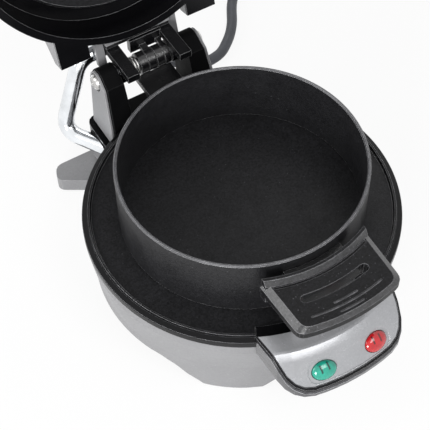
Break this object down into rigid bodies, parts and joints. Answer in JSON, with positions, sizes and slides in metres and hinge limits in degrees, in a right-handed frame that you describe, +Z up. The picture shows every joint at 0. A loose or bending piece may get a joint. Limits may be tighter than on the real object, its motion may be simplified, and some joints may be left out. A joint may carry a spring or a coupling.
{
  "type": "burger maker",
  "caption": "Round countertop burger maker with a hinged lid, a lift-up cooking ring with its own grip, and a front handle with two indicator lamps.",
  "frame": {"origin": "centre of the footprint on the standing surface, measured with the lid open and without the lead", "axes": "+Z up, -Y towards the front handle and its lamps, +X to the user's right as they face the back"},
  "size_m": [0.245, 0.4211, 0.2871],
  "materials": {
    "grey_plastic": "satin silver-grey moulded plastic",
    "silver_lacquer": "silver lacquered panel",
    "black_gloss": "black gloss moulded plastic",
    "black_textured": "black textured moulded plastic",
    "smoked_plastic": "smoked dark grey gloss plastic",
    "insulator": "pale heat-resistant insulator",
    "rubber": "matt black rubber",
    "cord_plastic": "dark grey flexible cord plastic",
    "green_lens": "green translucent lens",
    "red_lens": "red translucent lens",
    "non_stick": "black speckled non-stick coat",
    "black_steel": "black enamelled steel",
    "bright_steel": "plain bright steel",
    "chrome": "polished chrome",
    "shield_aluminium": "plain aluminium sheet"
  },
  "bodies": {
    "base": {"base_housing": "grey_plastic", "bottom_cover": "black_gloss", "top_cover": "black_gloss", "lower_plate": "non_stick", "lower_heating_element": "bright_steel", "lower_heat_shield": "shield_aluminium", "thermostat": "black_gloss", "thermal_fuse": "insulator", "terminal_block": "insulator", "front_handle_body": "smoked_plastic", "panel_trim": "black_gloss", "control_fascia": "silver_lacquer", "preheat_lens": "green_lens", "power_lens": "red_lens", "preheat_lamp": "insulator", "power_lamp": "insulator", "lamp_holder": "insulator", "left_hinge_post": "black_gloss", "right_hinge_post": "black_gloss", "left_post_cover": "grey_plastic", "right_post_cover": "grey_plastic", "hinge_shaft": "chrome", "left_shaft_nut": "bright_steel", "right_shaft_nut": "bright_steel", "hinge_spring": "chrome", "wiring_conduit": "chrome", "conduit_grommet": "rubber", "conduit_bushing": "rubber", "front_left_foot_pad": "rubber", "front_right_foot_pad": "rubber", "rear_left_foot_pad": "rubber", "rear_right_foot_pad": "rubber", "cover_screw_1": "bright_steel", "cover_screw_2": "bright_steel", "cover_screw_3": "bright_steel", "cord_strain_relief": "cord_plastic", "power_cord": "cord_plastic", "power_cord_coil": "cord_plastic", "cord_tie": "black_gloss", "mains_plug": "cord_plastic", "plug_left_pin": "bright_steel", "plug_right_pin": "bright_steel"},
    "ring": {"cooking_ring": "non_stick", "ring_bracket": "black_steel", "ring_left_rivet": "bright_steel", "ring_right_rivet": "bright_steel", "ring_handle": "black_textured", "ring_handle_stem": "black_steel", "handle_left_screw": "bright_steel", "handle_right_screw": "bright_steel"},
    "lid": {"lid_housing": "grey_plastic", "lid_inner_cover": "black_gloss", "upper_plate": "non_stick", "upper_heating_element": "bright_steel", "upper_heat_shield": "shield_aluminium", "lid_thermostat": "black_gloss", "lid_handle": "black_textured", "lid_bracket": "black_steel", "lid_bracket_left_screw": "bright_steel", "lid_bracket_right_screw": "bright_steel"}
  },
  "joints": [
    {"name": "lid_hinge", "type": "hinge", "parent": "base", "child": "lid", "pos_m": [0, 0.06751, 0.079], "axis": [1, 0, 0], "range_deg": [0, 105]},
    {"name": "ring_hinge", "type": "hinge", "parent": "base", "child": "ring", "pos_m": [0, 0.06751, 0.079], "axis": [1, 0, 0], "range_deg": [-105, 0]}
  ]
}
